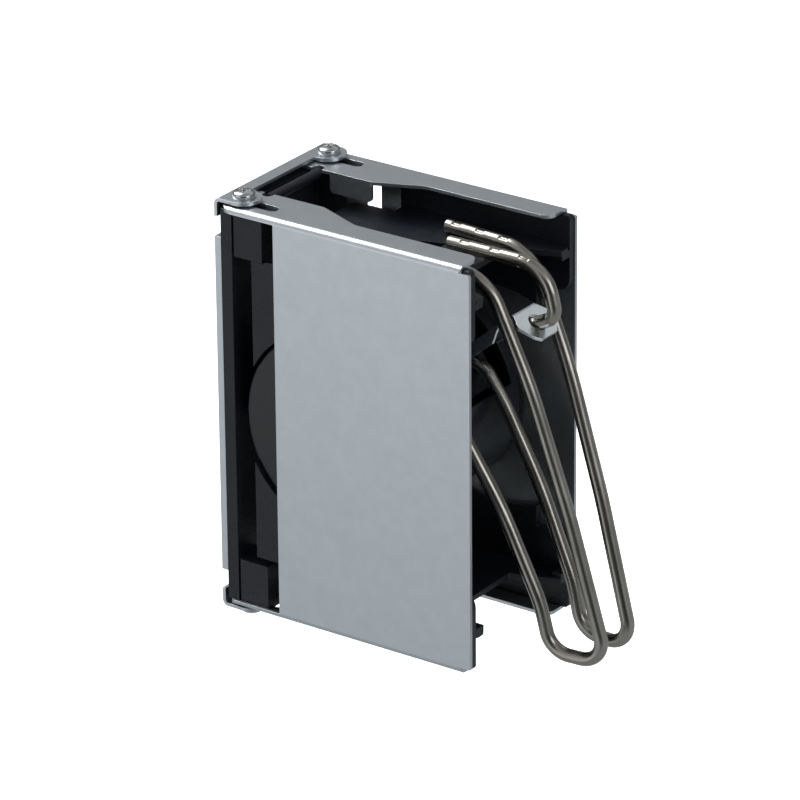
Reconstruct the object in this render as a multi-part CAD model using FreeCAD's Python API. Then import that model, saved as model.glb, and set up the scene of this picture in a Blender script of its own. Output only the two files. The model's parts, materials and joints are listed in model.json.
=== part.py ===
import FreeCAD, Part
import math
import os

# Compact holder for a small computer: a steel box of two folded cheeks and a back bracket,
# a moulded black core with a drum, and a sprung jaw of bent wire that swings on the drum's axle.
# Millimetres. X runs from the back bracket to the open end, Y across, Z up.
# Pieces are drawn with Z = 0 under the cheek flanges, and saved with the origin at the centre of
# the mounting holes: on the rear face of the back bracket, at half width and half height.

V = FreeCAD.Vector

# Overall box
HEIGHT = 184.0            # over the cheek flanges
WIDTH = 80.0              # over the cheek walls
DEPTH = 130.0             # back bracket to the open end of the cheeks
SHEET = 1.5               # steel sheet
BEND = 1.2                # inner radius of the folds
GAP = 0.2                 # gap between pieces that are fitted side by side

# Cheeks
WALL_START = 31.5         # where the cheek wall begins
FLANGE_START = 3.0        # back end of the flange
FLANGE_END = 125.5        # front end of the flange
FLANGE_WIDE = 23.0        # flange width beside the spine
FLANGE_NARROW = 14.0      # flange width beside the jaw
TAPER_START = 41.5        # where the wide flange begins to narrow
TAPER_LENGTH = 22.0
RELIEF_DROP = 2.8         # step down of the wall past the flange end
SLOT_END = 27.5           # front end of the adjusting slot
LIP_START = 20.0          # folded-down lip on the wide flange
LIP_DROP = 9.5

# Back bracket
BRACKET_WIDTH = 76.0
STRIP_WIDTH = 8.0
EAR_RADIUS = 7.8
RETURN_DEPTH = 3.2        # side returns of the back wall
RETURN_START = 15.0       # height of the lower end of the returns
NOTCH_WIDTH = 4.5
NOTCH_START = 6.0
MOUNT_HOLE = 5.5          # four holes in the back wall
MOUNT_PITCH_Y = 40.0
MOUNT_PITCH_Z = 120.0

# Fasteners
SCREW = 5.0
SCREW_X = 10.0
SCREW_Y = 30.5
SCREW_LENGTH = 14.0
SCREW_CLEARANCE = 0.5     # on the diameter
HEAD_DIAMETER = 9.8
HEAD_HEIGHT = 3.2
SPACER = 0.8              # spacer washer between strip and flange
SPACER_DIAMETER = 13.0
INSERT_DIAMETER = 7.0
INSERT_LENGTH = 9.0

# Moulded core
SPINE_FRONT = 9.0
BOSS_FRONT = 24.5
BOSS_HEIGHT = 22.0
BOSS_INNER = 23.0
PANEL = 3.3               # wall of the side panels
PANEL_END = 129.5
WEB_START = 19.0
WEB_FOOT = 25.6           # lower end of the web on the side panels
PANEL_BAND = 34.0         # height of the arms that reach to the open end
ARM_START = 113.0         # where the arms thin out
WINDOW_RADIUS = 51.0      # round window beside the jaw
WINDOW_X = 92.0
POCKET_HEIGHT = 19.5      # notch in the top and bottom of each panel
POCKET_END = 44.0
DECK_START = 46.0         # back end of the full width of the decks
DECK_TAIL = 26.0          # back end of the narrow part, beside the spine
DECK_TAIL_HALF = 26.5
DECK = 2.5                # thickness of the two decks
DECK_DEPTH = 15.5         # from the flange top to the deck top
DECK_NOTCH_X = 108.0      # cut-out where the jaw wires swing
DECK_NOTCH_Y = 22.0
MOUTH_START = 118.0       # where the cut-out widens again to the open end
MOUTH_INNER = 24.5
MOUTH_OUTER = 29.0
WELL_START = 74.0         # opening in the deck behind the hook wire
WELL_END = 87.0
WELL_NARROW = 6.0
WELL_WIDE = 10.5
CRADLE_LENGTH = 12.0      # raised block that carries the hook wire
CRADLE_WIDTH = 9.0
CRADLE_BACK = 1.5         # from the well to the cradle
EAR_DROP = 4.5            # end ears that hang below the deck
EAR_LENGTH = 5.0
EAR_WIDTH = 5.5
ROD = 4.6                 # spacer rods between the flanges
ROD_X = 13.5

# Drum, axle and bearings
DRUM_X = 59.0
DRUM_RADIUS = 45.0
DRUM_WALL = 2.0
DRUM_HALF = 36.5
DRUM_CLEARANCE = 0.6
SLOT_LOW = 12.0           # degrees above the +X axis
SLOT_HIGH = 60.0
SLOT_HALF = 31.0
AXLE = 8.0
AXLE_FIT = 0.1            # on the diameter
BUSH_WALL = 1.5
BUSH_FLANGE = 1.2
RING = 0.8
RING_DIAMETER = 13.0
HUB_RADIUS = 13.0
ROTOR_RADIUS = 40.0
ROTOR_HALF = 26.0
ROTOR_LOW = 14.0
ROTOR_HIGH = 62.0
SPRING_WIRE = 1.6
SPRING_RADIUS = 9.5
SPRING_TURNS = 3

# Jaw
WIRE = 6.0
WIRE_LIFT = 0.2           # gap between a resting wire and what it rests on
WIRE_TOP_Y = 18.3         # half spacing of the wire arms over the deck, at SPREAD_X
SPREAD_X = 100.0
SPREAD_ALONG = 0.0774     # the arms close up by this much for each millimetre towards +X
SPREAD_DOWN = 0.0148      # and by this much for each millimetre down
ARM_END = 78.0            # end of the arms on the deck
ARM_TURN = 122.5          # corner where the arms turn down
FOOT_Z = 6.7              # middle of the wire at the foot
ARM_HOOP = [(143.2, 124.6, 260.0), (161.0, 70.5, 300.0), (178.5, FOOT_Z, 9.5),
            (151.7, FOOT_Z, 11.0), (146.7, 27.9, 60.0), (129.0, 66.9, 200.0),
            (109.7, 99.0, 100.0), (97.7, 114.0, 12.0), (80.0, 114.0, 0)]
ARM_BEND = 20.5
LEVER_ANGLE = 39.8        # degrees above the +X axis
LEVER_REACH = 93.2        # drum axis to the fold of the tab
LEVER_WIDTH = 20.0
LEVER_ROOT = 27.0         # drum axis to the inner end of the lever
RIVET_AT = 6.0            # inner end of the lever to the rivets
CHEEK_START = 62.0        # drum axis to the folded sides of the lever
CHEEK_END = 87.0
CHEEK_WIDTH = 24.0
CHEEK_DROP = 4.0
CHEEK_SLANT = 8.0
NECK_WIDTH = 16.0         # lever width at the fold
TAB_LENGTH = 14.5
TAB_ANGLE = -32.9
TAB_WIDE = 23.4           # widest part of the tab
TAB_WIDE_AT = 4.6
TAB_TAPER_AT = 12.0
TAB_TIP = 10.6
TAB_HOLE = 8.4
TAB_HOLE_AT = 6.8         # fold to hole centre
HOOK_RISE = 2.5           # height of the hook wire above the two arms
HOOK_END = 92.5
HOOK_TURN = 140.6         # corner where the hook wire turns down
HOOK_BEND = 16.0
HOOK_ANGLE = 26.6         # slope of the hook wire where it enters the hole
HOOK_RETURN = 10.8        # hole centre to the lower corner of the hook wire
HOOK_RETURN_BEND = 6.0
HOOK_THROUGH = 1.8        # reach of the hook wire past the hole centre
RIVET = 4.0
RIVET_DEPTH = 6.0
RIVET_HEAD = 7.2
RIVET_HEAD_HEIGHT = 1.2

MID = HEIGHT / 2
HALF = WIDTH / 2
INSIDE = HALF - SHEET - GAP           # outer face of the core
PANEL_INNER = INSIDE - PANEL
CORE_TOP = HEIGHT - SHEET - GAP
DECK_TOP = HEIGHT - DECK_DEPTH
ARM_LEVEL = DECK_TOP + WIRE_LIFT + WIRE / 2
HOOK_LEVEL = ARM_LEVEL + HOOK_RISE


def box(x0, x1, y0, y1, z0, z1):
    return Part.makeBox(x1 - x0, y1 - y0, z1 - z0, V(x0, y0, z0))


def rod_y(x, z, radius, y0, y1):
    return Part.makeCylinder(radius, y1 - y0, V(x, y0, z), V(0, 1, 0))


def rod_z(x, y, radius, z0, z1):
    return Part.makeCylinder(radius, z1 - z0, V(x, y, z0), V(0, 0, 1))


def rounded_edges(points, radii, closed):
    """Straight runs joined by tangent arcs, one radius for each point."""
    count = len(points)
    starts = []
    ends = []
    arcs = []
    for i in range(count):
        here = points[i]
        open_end = not closed and i in (0, count - 1)
        if open_end or radii[i] == 0:
            starts.append(here)
            ends.append(here)
            arcs.append(None)
            continue
        back = (points[i - 1] - here).normalize()
        ahead = (points[(i + 1) % count] - here).normalize()
        half = back.getAngle(ahead) / 2
        reach = radii[i] / math.tan(half)
        middle = (back + ahead).normalize()
        centre = here + middle * (radii[i] / math.sin(half))
        starts.append(here + back * reach)
        ends.append(here + ahead * reach)
        arcs.append(centre - middle * radii[i])
    edges = []
    for i in range(count):
        if arcs[i] is not None:
            edges.append(Part.Arc(starts[i], arcs[i], ends[i]).toShape())
        following = (i + 1) % count
        if following == 0 and not closed:
            break
        if (starts[following] - ends[i]).Length > 1e-6:
            edges.append(Part.LineSegment(ends[i], starts[following]).toShape())
    return edges


def slab(points, radii, direction):
    wire = Part.Wire(rounded_edges(points, radii, True))
    return Part.Face(wire).extrude(direction)


def plate_xy(outline, z0, z1):
    """Flat plate from (x, y, radius) corners."""
    points = [V(x, y, z0) for x, y, r in outline]
    return slab(points, [r for x, y, r in outline], V(0, 0, z1 - z0))


def plate_xz(outline, y0, y1):
    """Upright plate from (x, z, radius) corners."""
    points = [V(x, y0, z) for x, z, r in outline]
    return slab(points, [r for x, z, r in outline], V(0, y1 - y0, 0))


def tube(points, radii, diameter):
    """Round wire along straight runs and tangent arcs."""
    path = Part.Wire(rounded_edges(points, radii, False))
    circle = Part.Circle(points[0], points[1] - points[0], diameter / 2)
    section = Part.Wire(circle.toShape())
    return path.makePipeShell([section], True, False)


def mirror_y(shape):
    return shape.mirror(V(0, 0, 0), V(0, 1, 0))


def mirror_z(shape):
    return shape.mirror(V(0, 0, MID), V(0, 0, 1))


def four_corners(shape):
    """The shape at the upper front corner, and its three mirror images."""
    upper = [shape, mirror_y(shape)]
    return upper + [mirror_z(s) for s in upper]


def save(name, shapes):
    solids = []
    for shape in shapes:
        solids += shape.Solids
    whole = solids[0] if len(solids) == 1 else Part.Compound(solids)
    whole = whole.translated(V(0, 0, -MID))
    whole.exportStep("parts/" + name + ".step")
    print(name, len(solids), "solids", round(sum(s.Volume for s in solids)), "mm3",
          "valid" if whole.isValid() else "INVALID")


def front_cheek():
    """Folded channel, open to the middle, with tapered flanges, slots and lips."""
    outer = BEND + SHEET
    inner_edge = -HALF + FLANGE_WIDE
    channel = [V(FLANGE_START, inner_edge, 0), V(FLANGE_START, -HALF, 0),
               V(FLANGE_START, -HALF, HEIGHT), V(FLANGE_START, inner_edge, HEIGHT),
               V(FLANGE_START, inner_edge, HEIGHT - SHEET),
               V(FLANGE_START, -HALF + SHEET, HEIGHT - SHEET),
               V(FLANGE_START, -HALF + SHEET, SHEET), V(FLANGE_START, inner_edge, SHEET)]
    radii = [0, outer, outer, 0, 0, BEND, BEND, 0]
    body = slab(channel, radii, V(DEPTH - FLANGE_START, 0, 0))
    body = body.cut(box(0, WALL_START, -HALF - 1, -HALF + outer, outer, HEIGHT - outer))
    narrow_edge = -HALF + FLANGE_NARROW
    taper_end = TAPER_START + TAPER_LENGTH
    flange = [(FLANGE_START, inner_edge, 1.0), (TAPER_START, inner_edge, 6.0),
              (taper_end, narrow_edge, 8.0), (FLANGE_END, narrow_edge, 4.5),
              (FLANGE_END, -HALF, 1.0), (FLANGE_START, -HALF, 6.5)]
    outline = plate_xy(flange, -1, HEIGHT + 1)
    wall = [(WALL_START, RELIEF_DROP, 0), (DEPTH, RELIEF_DROP, 1.0),
            (DEPTH, HEIGHT - RELIEF_DROP, 1.0), (WALL_START, HEIGHT - RELIEF_DROP, 0)]
    strip = plate_xz(wall, -HALF - 1, -HALF + outer)
    body = body.common(outline.fuse(strip))
    slot_radius = (SCREW + SCREW_CLEARANCE) / 2
    slot_tip = SLOT_END - slot_radius
    slot = box(SCREW_X, slot_tip, -SCREW_Y - slot_radius, -SCREW_Y + slot_radius, -1, HEIGHT + 1)
    slot = slot.fuse(rod_z(SCREW_X, -SCREW_Y, slot_radius, -1, HEIGHT + 1))
    slot = slot.fuse(rod_z(slot_tip, -SCREW_Y, slot_radius, -1, HEIGHT + 1))
    body = body.cut(slot)
    seat = rod_z(ROD_X, inner_edge - ROD / 4, ROD / 2 + GAP, -1, HEIGHT + 1)
    body = body.cut(seat.fuse(box(ROD_X - ROD / 2 - GAP, ROD_X + ROD / 2 + GAP,
                                  inner_edge - ROD / 4, inner_edge + 1, -1, HEIGHT + 1)))
    lip = [(LIP_START, HEIGHT - SHEET, 0), (LIP_START, HEIGHT - LIP_DROP, 2.0),
           (TAPER_START, HEIGHT - LIP_DROP, 2.0), (TAPER_START, HEIGHT - SHEET, 0)]
    drop = plate_xz(lip, inner_edge - SHEET, inner_edge)
    body = body.fuse(drop).fuse(mirror_z(drop))
    return body.removeSplitter()


def back_bracket():
    """Shallow pan whose top and bottom strips carry an ear round each screw."""
    half = BRACKET_WIDTH / 2
    low = -SPACER - SHEET
    high = HEIGHT + SPACER + SHEET
    outer = BEND + SHEET
    reach = STRIP_WIDTH
    section = [V(0, -half, low), V(0, -half, high), V(reach, -half, high),
               V(reach, -half, high - SHEET), V(SHEET, -half, high - SHEET),
               V(SHEET, -half, low + SHEET), V(reach, -half, low + SHEET), V(reach, -half, low)]
    radii = [outer, outer, 0, 0, BEND, BEND, 0, 0]
    body = slab(section, radii, V(0, BRACKET_WIDTH, 0))
    top = high - SHEET
    for side in (-1, 1):
        ear = rod_z(SCREW_X, side * SCREW_Y, EAR_RADIUS, top, high)
        ear = ear.cut(box(-20, SHEET + BEND, -HALF, HALF, top, high))
        body = body.fuse(ear).fuse(mirror_z(ear))
        wing = box(0, RETURN_DEPTH, half - SHEET, half, RETURN_START, HEIGHT - RETURN_START)
        notch = box(-1, RETURN_DEPTH + 1, half - NOTCH_WIDTH, half + 1, NOTCH_START, RETURN_START)
        if side < 0:
            wing = mirror_y(wing)
            notch = mirror_y(notch)
        body = body.fuse(wing).cut(notch).cut(mirror_z(notch))
    for y in (-MOUNT_PITCH_Y / 2, MOUNT_PITCH_Y / 2):
        for z in (MID - MOUNT_PITCH_Z / 2, MID + MOUNT_PITCH_Z / 2):
            body = body.cut(Part.makeCylinder(MOUNT_HOLE / 2, SHEET + 2, V(-1, y, z), V(1, 0, 0)))
    hole = (SCREW + SCREW_CLEARANCE) / 2
    for side in (-1, 1):
        body = body.cut(rod_z(SCREW_X, side * SCREW_Y, hole, low - 1, high + 1))
    return body.removeSplitter()


def core_envelope():
    """Space inside the folded cheeks, with corners that clear the inside of the folds."""
    low = SHEET + GAP
    corners = [V(0, -INSIDE, low), V(0, INSIDE, low), V(0, INSIDE, CORE_TOP), V(0, -INSIDE, CORE_TOP)]
    return slab(corners, [BEND] * 4, V(DEPTH, 0, 0))


def spine():
    """Back column of the core, with a boss block at each screw."""
    body = box(RETURN_DEPTH + GAP, SPINE_FRONT, -INSIDE, INSIDE, SHEET + GAP, CORE_TOP)
    inner = BRACKET_WIDTH / 2 - SHEET - GAP
    body = body.fuse(box(SHEET + GAP, SPINE_FRONT, -inner, inner, RETURN_START, HEIGHT - RETURN_START))
    corner = box(SPINE_FRONT - 1, BOSS_FRONT, -INSIDE, -BOSS_INNER, HEIGHT - BOSS_HEIGHT, CORE_TOP)
    groove = box(SPINE_FRONT, SPINE_FRONT + 1.2, -INSIDE - 1, -INSIDE + 1.2, -1, HEIGHT + 1)
    corner = corner.cut(groove)
    reach = SHEET + GAP + SCREW_LENGTH
    bore = rod_z(SCREW_X, -SCREW_Y, INSERT_DIAMETER / 2, CORE_TOP - INSERT_LENGTH, HEIGHT)
    tip = rod_z(SCREW_X, -SCREW_Y, SCREW / 2 + GAP, HEIGHT - reach, HEIGHT)
    for block in four_corners(corner):
        body = body.fuse(block)
    for hollow in four_corners(bore.fuse(tip)):
        body = body.cut(hollow)
    middle = box(SPINE_FRONT - 2, SPINE_FRONT + 1, -BOSS_INNER, BOSS_INNER, BOSS_HEIGHT + 8,
                 HEIGHT - BOSS_HEIGHT - 8)
    body = body.cut(middle)
    for y in (-MOUNT_PITCH_Y / 2, MOUNT_PITCH_Y / 2):
        for z in (MID - MOUNT_PITCH_Z / 2, MID + MOUNT_PITCH_Z / 2):
            body = body.cut(Part.makeCylinder(MOUNT_HOLE, 20, V(-1, y, z), V(1, 0, 0)))
    support = box(SPINE_FRONT - 2 - 0.5, drum_back() - GAP, -12, 12, MID - 14, MID + 14)
    body = body.fuse(support)
    body = body.cut(rod_y(DRUM_X, MID, DRUM_RADIUS + GAP, -HALF, HALF))
    return body.common(core_envelope()).removeSplitter()


def drum_back():
    return DRUM_X - DRUM_RADIUS + 1.0


def panel_blank(y0, y1):
    """Side panel before it is parted by the drum."""
    top = CORE_TOP
    arm = HEIGHT - PANEL_BAND - 2
    outline = [(WEB_START, WEB_FOOT, 0), (POCKET_END, WEB_FOOT, 0), (POCKET_END, SHEET + GAP, 2.0),
               (PANEL_END, SHEET + GAP, 2.0), (PANEL_END, HEIGHT - arm, 6.0),
               (ARM_START, HEIGHT - arm, 0), (ARM_START, arm, 0), (PANEL_END, arm, 6.0),
               (PANEL_END, top, 2.0), (POCKET_END, top, 2.0), (POCKET_END, top - POCKET_HEIGHT, 3.0),
               (BOSS_FRONT + GAP, top - POCKET_HEIGHT, 2.0), (BOSS_FRONT + GAP, HEIGHT - BOSS_HEIGHT - GAP, 0),
               (WEB_START, HEIGHT - BOSS_HEIGHT - GAP, 0)]
    body = plate_xz(outline, y0, y1)
    body = body.cut(rod_y(DRUM_X, MID, DRUM_RADIUS + DRUM_CLEARANCE, y0 - 1, y1 + 1))
    body = body.cut(rod_y(WINDOW_X, MID, WINDOW_RADIUS, y0 - 1, y1 + 1))
    return body.common(core_envelope())


def deck():
    """Top deck on which the ends of the wires rest, with a well, a cradle and hanging end ears."""
    edge = PANEL_INNER - GAP
    tail = [(DECK_START, DECK_TAIL_HALF, 1.0), (DECK_TAIL, DECK_TAIL_HALF, 2.0),
            (DECK_TAIL, -DECK_TAIL_HALF, 2.0), (DECK_START, -DECK_TAIL_HALF, 1.0)]
    outline = [(DECK_START, -edge, 1.0), (PANEL_END, -edge, 2.0), (PANEL_END, -MOUTH_OUTER, 1.0),
               (MOUTH_START, -MOUTH_INNER, 2.0), (DECK_NOTCH_X, -DECK_NOTCH_Y, 2.0),
               (DECK_NOTCH_X, DECK_NOTCH_Y, 2.0), (MOUTH_START, MOUTH_INNER, 2.0),
               (PANEL_END, MOUTH_OUTER, 1.0), (PANEL_END, edge, 2.0), (DECK_START, edge, 1.0)]
    body = plate_xy(outline + tail, DECK_TOP - DECK, DECK_TOP)
    well = [(WELL_START, -WELL_NARROW, 2.0), (WELL_END, -WELL_WIDE, 2.0),
            (WELL_END, WELL_WIDE, 2.0), (WELL_START, WELL_NARROW, 2.0)]
    body = body.cut(plate_xy(well, DECK_TOP - DECK - 1, DECK_TOP + 1))
    start = WELL_END + CRADLE_BACK
    body = body.fuse(box(start, start + CRADLE_LENGTH, -CRADLE_WIDTH / 2, CRADLE_WIDTH / 2,
                         DECK_TOP - DECK, DECK_TOP + HOOK_RISE))
    ear = box(PANEL_END - EAR_LENGTH, PANEL_END, edge - EAR_WIDTH, edge,
              DECK_TOP - EAR_DROP, DECK_TOP - DECK / 2)
    return body.fuse(ear).fuse(mirror_y(ear)).removeSplitter()


def sector(x, z, radius, low, high, y0, y1):
    """Wedge about the Y axis between two angles above +X."""
    centre = V(x, y0, z)
    start = V(x + radius * math.cos(math.radians(low)), y0, z + radius * math.sin(math.radians(low)))
    mean = math.radians((low + high) / 2)
    middle = V(x + radius * math.cos(mean), y0, z + radius * math.sin(mean))
    end = V(x + radius * math.cos(math.radians(high)), y0, z + radius * math.sin(math.radians(high)))
    edges = [Part.LineSegment(centre, start).toShape(), Part.Arc(start, middle, end).toShape(),
             Part.LineSegment(end, centre).toShape()]
    return Part.Face(Part.Wire(edges)).extrude(V(0, y1 - y0, 0))


def drum_half():
    """Front half of the drum shell: rim, end disc and bush seat, with the slot for the jaw."""
    rim = rod_y(DRUM_X, MID, DRUM_RADIUS, -DRUM_HALF, -GAP / 2)
    hollow = rod_y(DRUM_X, MID, DRUM_RADIUS - DRUM_WALL, -DRUM_HALF + DRUM_WALL, 1)
    body = rim.cut(hollow)
    body = body.makeFillet(1.2, [e for e in body.Edges if is_rim_edge(e)])
    bore = AXLE / 2 + BUSH_WALL
    body = body.cut(rod_y(DRUM_X, MID, bore, -DRUM_HALF - 1, 0))
    return body.cut(sector(DRUM_X, MID, DRUM_RADIUS + 5, SLOT_LOW, SLOT_HIGH, -SLOT_HALF, 1)
                    .cut(rod_y(DRUM_X, MID, DRUM_RADIUS - DRUM_WALL - 1, -DRUM_HALF, 2)))


def is_rim_edge(edge):
    curve = edge.Curve
    at_end = abs(edge.BoundBox.YMin + DRUM_HALF) < 0.01 and edge.BoundBox.YLength < 0.01
    return at_end and hasattr(curve, "Radius") and abs(curve.Radius - DRUM_RADIUS) < 0.01


def bush():
    """Flanged bush pressed into the front end disc from the inside."""
    inner = -DRUM_HALF + DRUM_WALL
    body = rod_y(DRUM_X, MID, AXLE / 2 + BUSH_WALL, -DRUM_HALF, inner)
    body = body.fuse(rod_y(DRUM_X, MID, AXLE / 2 + 2 * BUSH_WALL, inner, inner + BUSH_FLANGE))
    return body.cut(rod_y(DRUM_X, MID, (AXLE + AXLE_FIT) / 2, -HALF, 0))


def axle():
    reach = DRUM_HALF + GAP + RING + 0.4
    body = rod_y(DRUM_X, MID, AXLE / 2, -reach, reach)
    groove_in = DRUM_HALF + GAP
    for y in (-groove_in - RING, groove_in):
        groove = rod_y(DRUM_X, MID, AXLE, y, y + RING)
        body = body.cut(groove.cut(rod_y(DRUM_X, MID, AXLE / 2 - 0.5, y, y + RING)))
    return body


def retaining_rings():
    rings = []
    for y in (-DRUM_HALF - GAP - RING, DRUM_HALF + GAP):
        ring = rod_y(DRUM_X, MID, RING_DIAMETER / 2, y, y + RING)
        ring = ring.cut(rod_y(DRUM_X, MID, AXLE / 2 - 0.5, y, y + RING))
        rings.append(ring.cut(box(DRUM_X - 2.2, DRUM_X + 2.2, y, y + RING, MID - 20, MID)))
    return rings


def radial(reach, angle):
    """Point at a distance from the drum axis and an angle above +X."""
    a = math.radians(angle)
    return V(DRUM_X + reach * math.cos(a), 0, MID + reach * math.sin(a))


def wire_y(x, z):
    """Distance of the wire arm from the mid-plane: the two arms lean towards each other."""
    return WIRE_TOP_Y - SPREAD_ALONG * (x - SPREAD_X) - SPREAD_DOWN * (ARM_LEVEL - z)


def wire_arm(side):
    """Bent wire: from its end on the deck, down the outer leg, round the foot and up to the rotor."""
    route = [(ARM_END, ARM_LEVEL, 0), (ARM_TURN, ARM_LEVEL, ARM_BEND)] + ARM_HOOP
    points = [V(x, side * wire_y(x, z), z) for x, z, r in route]
    return tube(points, [r for x, z, r in route], WIRE)


def tab_point(along, y, rise):
    """Point on the tab, measured from its fold, across, and above its upper face."""
    fold = radial(LEVER_REACH, LEVER_ANGLE)
    a = math.radians(TAB_ANGLE)
    return V(fold.x + along * math.cos(a) - rise * math.sin(a), y,
             fold.z + along * math.sin(a) + rise * math.cos(a))


def hook_wire():
    """Bent wire from the cradle, over the open end and back into the hole of the tab."""
    seat = tab_point(TAB_HOLE_AT, 0, 0)
    a = math.radians(HOOK_ANGLE)
    aim = V(math.cos(a), 0, math.sin(a))
    points = [V(HOOK_END, 0, HOOK_LEVEL), V(HOOK_TURN, 0, HOOK_LEVEL),
              seat + aim * HOOK_RETURN, seat - aim * HOOK_THROUGH]
    return tube(points, [0, HOOK_BEND, HOOK_RETURN_BEND, 0], WIRE)


def lever_point(reach, y, rise):
    """Point on the lever: distance from the drum axis, across, and above its lower face."""
    p = radial(reach, LEVER_ANGLE)
    a = math.radians(LEVER_ANGLE)
    return V(p.x - rise * math.sin(a), y, p.z + rise * math.cos(a))


def lever():
    """Radial plate from the rotor, with folded sides and a folded tab that takes the hook wire."""
    half = LEVER_WIDTH / 2
    wide = CHEEK_WIDTH / 2
    neck = NECK_WIDTH / 2
    side = [(LEVER_ROOT, half, 1.0), (CHEEK_START - 2, half, 1.0), (CHEEK_START, wide, 1.0),
            (CHEEK_END, wide, 1.0), (CHEEK_END + 3, neck, 1.0), (LEVER_REACH, neck, 0)]
    outline = side + [(r, -y, c) for r, y, c in reversed(side)]
    thick = lever_point(0, 0, SHEET) - lever_point(0, 0, 0)
    body = slab([lever_point(r, y, 0) for r, y, c in outline], [c for r, y, c in outline], thick)
    fold = [(CHEEK_START, 0), (CHEEK_END, 0), (CHEEK_END - CHEEK_SLANT, -CHEEK_DROP),
            (CHEEK_START, -CHEEK_DROP)]
    for y in (-wide, wide - SHEET):
        corners = [lever_point(r, y, rise + SHEET / 2 * (rise == 0)) for r, rise in fold]
        body = body.fuse(slab(corners, [0, 0, 0.5, 0.5], V(0, SHEET, 0)))
    side = [(-SHEET / 2, neck, 0), (TAB_WIDE_AT, TAB_WIDE / 2, 2.0), (TAB_TAPER_AT, neck, 2.0),
            (TAB_LENGTH, TAB_TIP / 2, 1.5)]
    outline = side + [(t, -y, c) for t, y, c in reversed(side)]
    under = tab_point(0, 0, -SHEET) - tab_point(0, 0, 0)
    tab = slab([tab_point(t, y, SHEET / 2) for t, y, c in outline], [c for t, y, c in outline], under)
    body = body.fuse(tab)
    normal = tab_point(0, 0, 1) - tab_point(0, 0, 0)
    seat = tab_point(TAB_HOLE_AT, 0, -2 * SHEET)
    body = body.cut(Part.makeCylinder(TAB_HOLE / 2, 4 * SHEET, seat, normal))
    for y in (-LEVER_WIDTH / 4, LEVER_WIDTH / 4):
        foot = lever_point(LEVER_ROOT + RIVET_AT, y, -1)
        body = body.cut(Part.makeCylinder(RIVET / 2, SHEET + 2, foot, thick))
    return body.removeSplitter()


def lever_rivets():
    """Two rivets that hold the lever to the rotor."""
    rivets = []
    axis = lever_point(0, 0, 1) - lever_point(0, 0, 0)
    for y in (-LEVER_WIDTH / 4, LEVER_WIDTH / 4):
        foot = lever_point(LEVER_ROOT + RIVET_AT, y, -RIVET_DEPTH)
        rivet = Part.makeCylinder(RIVET / 2, RIVET_DEPTH + SHEET, foot, axis)
        head = lever_point(LEVER_ROOT + RIVET_AT, y, SHEET)
        rivet = rivet.fuse(Part.makeCylinder(RIVET_HEAD / 2, RIVET_HEAD_HEIGHT, head, axis))
        rivets.append(rivet.removeSplitter())
    return rivets


def rotor(arms):
    """Hub and sector that turn on the axle and hold the wires and the lever."""
    body = rod_y(DRUM_X, MID, HUB_RADIUS, -ROTOR_HALF, ROTOR_HALF)
    body = body.fuse(sector(DRUM_X, MID, ROTOR_RADIUS, ROTOR_LOW, ROTOR_HIGH, -ROTOR_HALF, ROTOR_HALF))
    body = body.cut(rod_y(DRUM_X, MID, (AXLE + AXLE_FIT) / 2, -HALF, HALF))
    a = math.radians(LEVER_ANGLE)
    across = V(-math.sin(a), 0, math.cos(a))
    along = V(math.cos(a), 0, math.sin(a))
    inner = radial(LEVER_ROOT, LEVER_ANGLE) - along * GAP
    half = LEVER_WIDTH / 2 + GAP
    corners = [V(inner.x, -half, inner.z), V(inner.x, half, inner.z)]
    corners += [p + along * 40 for p in (corners[1], corners[0])]
    pocket = slab(corners, [0, 0, 0, 0], across * 30)
    body = body.cut(pocket)
    for arm in arms:
        body = body.cut(arm)
    for rivet in lever_rivets():
        body = body.cut(rivet)
    return body.removeSplitter()


def torsion_spring():
    """Coil round the hub that swings the jaw down onto the deck, with two short legs."""
    start = ROTOR_HALF + SPRING_WIRE / 2 + 0.4
    pitch = SPRING_WIRE + 0.3
    helix = Part.makeHelix(pitch, pitch * SPRING_TURNS, SPRING_RADIUS)
    helix.rotate(V(0, 0, 0), V(1, 0, 0), -90)
    helix.translate(V(DRUM_X, start, MID))
    section = Part.Wire(Part.Circle(V(DRUM_X + SPRING_RADIUS, start, MID), V(0, 0, 1),
                                    SPRING_WIRE / 2).toShape())
    return Part.Wire(helix.Edges).makePipeShell([section], True, True)


def top_screw():
    """Pan head machine screw with a cross recess, at the upper front corner."""
    seat = HEIGHT + SPACER + SHEET
    shank = rod_z(SCREW_X, -SCREW_Y, SCREW / 2, seat - SCREW_LENGTH, seat)
    radius = HEAD_DIAMETER / 2
    ball = (radius ** 2 + HEAD_HEIGHT ** 2) / (2 * HEAD_HEIGHT) + 1.2
    dome = Part.makeSphere(ball, V(SCREW_X, -SCREW_Y, seat + HEAD_HEIGHT - ball))
    head = rod_z(SCREW_X, -SCREW_Y, radius, seat, seat + HEAD_HEIGHT).common(dome)
    screw = shank.fuse(head)
    blade = HEAD_DIAMETER * 0.27
    top = seat + HEAD_HEIGHT
    for wide, narrow in ((blade, 0.65), (0.65, blade)):
        screw = screw.cut(box(SCREW_X - wide, SCREW_X + wide, -SCREW_Y - narrow, -SCREW_Y + narrow,
                              top - 1.8, top + 1))
    return screw.removeSplitter()


def spacer_washer():
    ring = rod_z(SCREW_X, -SCREW_Y, SPACER_DIAMETER / 2, HEIGHT, HEIGHT + SPACER)
    return ring.cut(rod_z(SCREW_X, -SCREW_Y, SCREW / 2 + GAP, HEIGHT - 1, HEIGHT + SPACER + 1))


def threaded_insert():
    outer = rod_z(SCREW_X, -SCREW_Y, INSERT_DIAMETER / 2, CORE_TOP - INSERT_LENGTH, CORE_TOP)
    return outer.cut(rod_z(SCREW_X, -SCREW_Y, SCREW / 2, CORE_TOP - INSERT_LENGTH, CORE_TOP))


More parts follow.
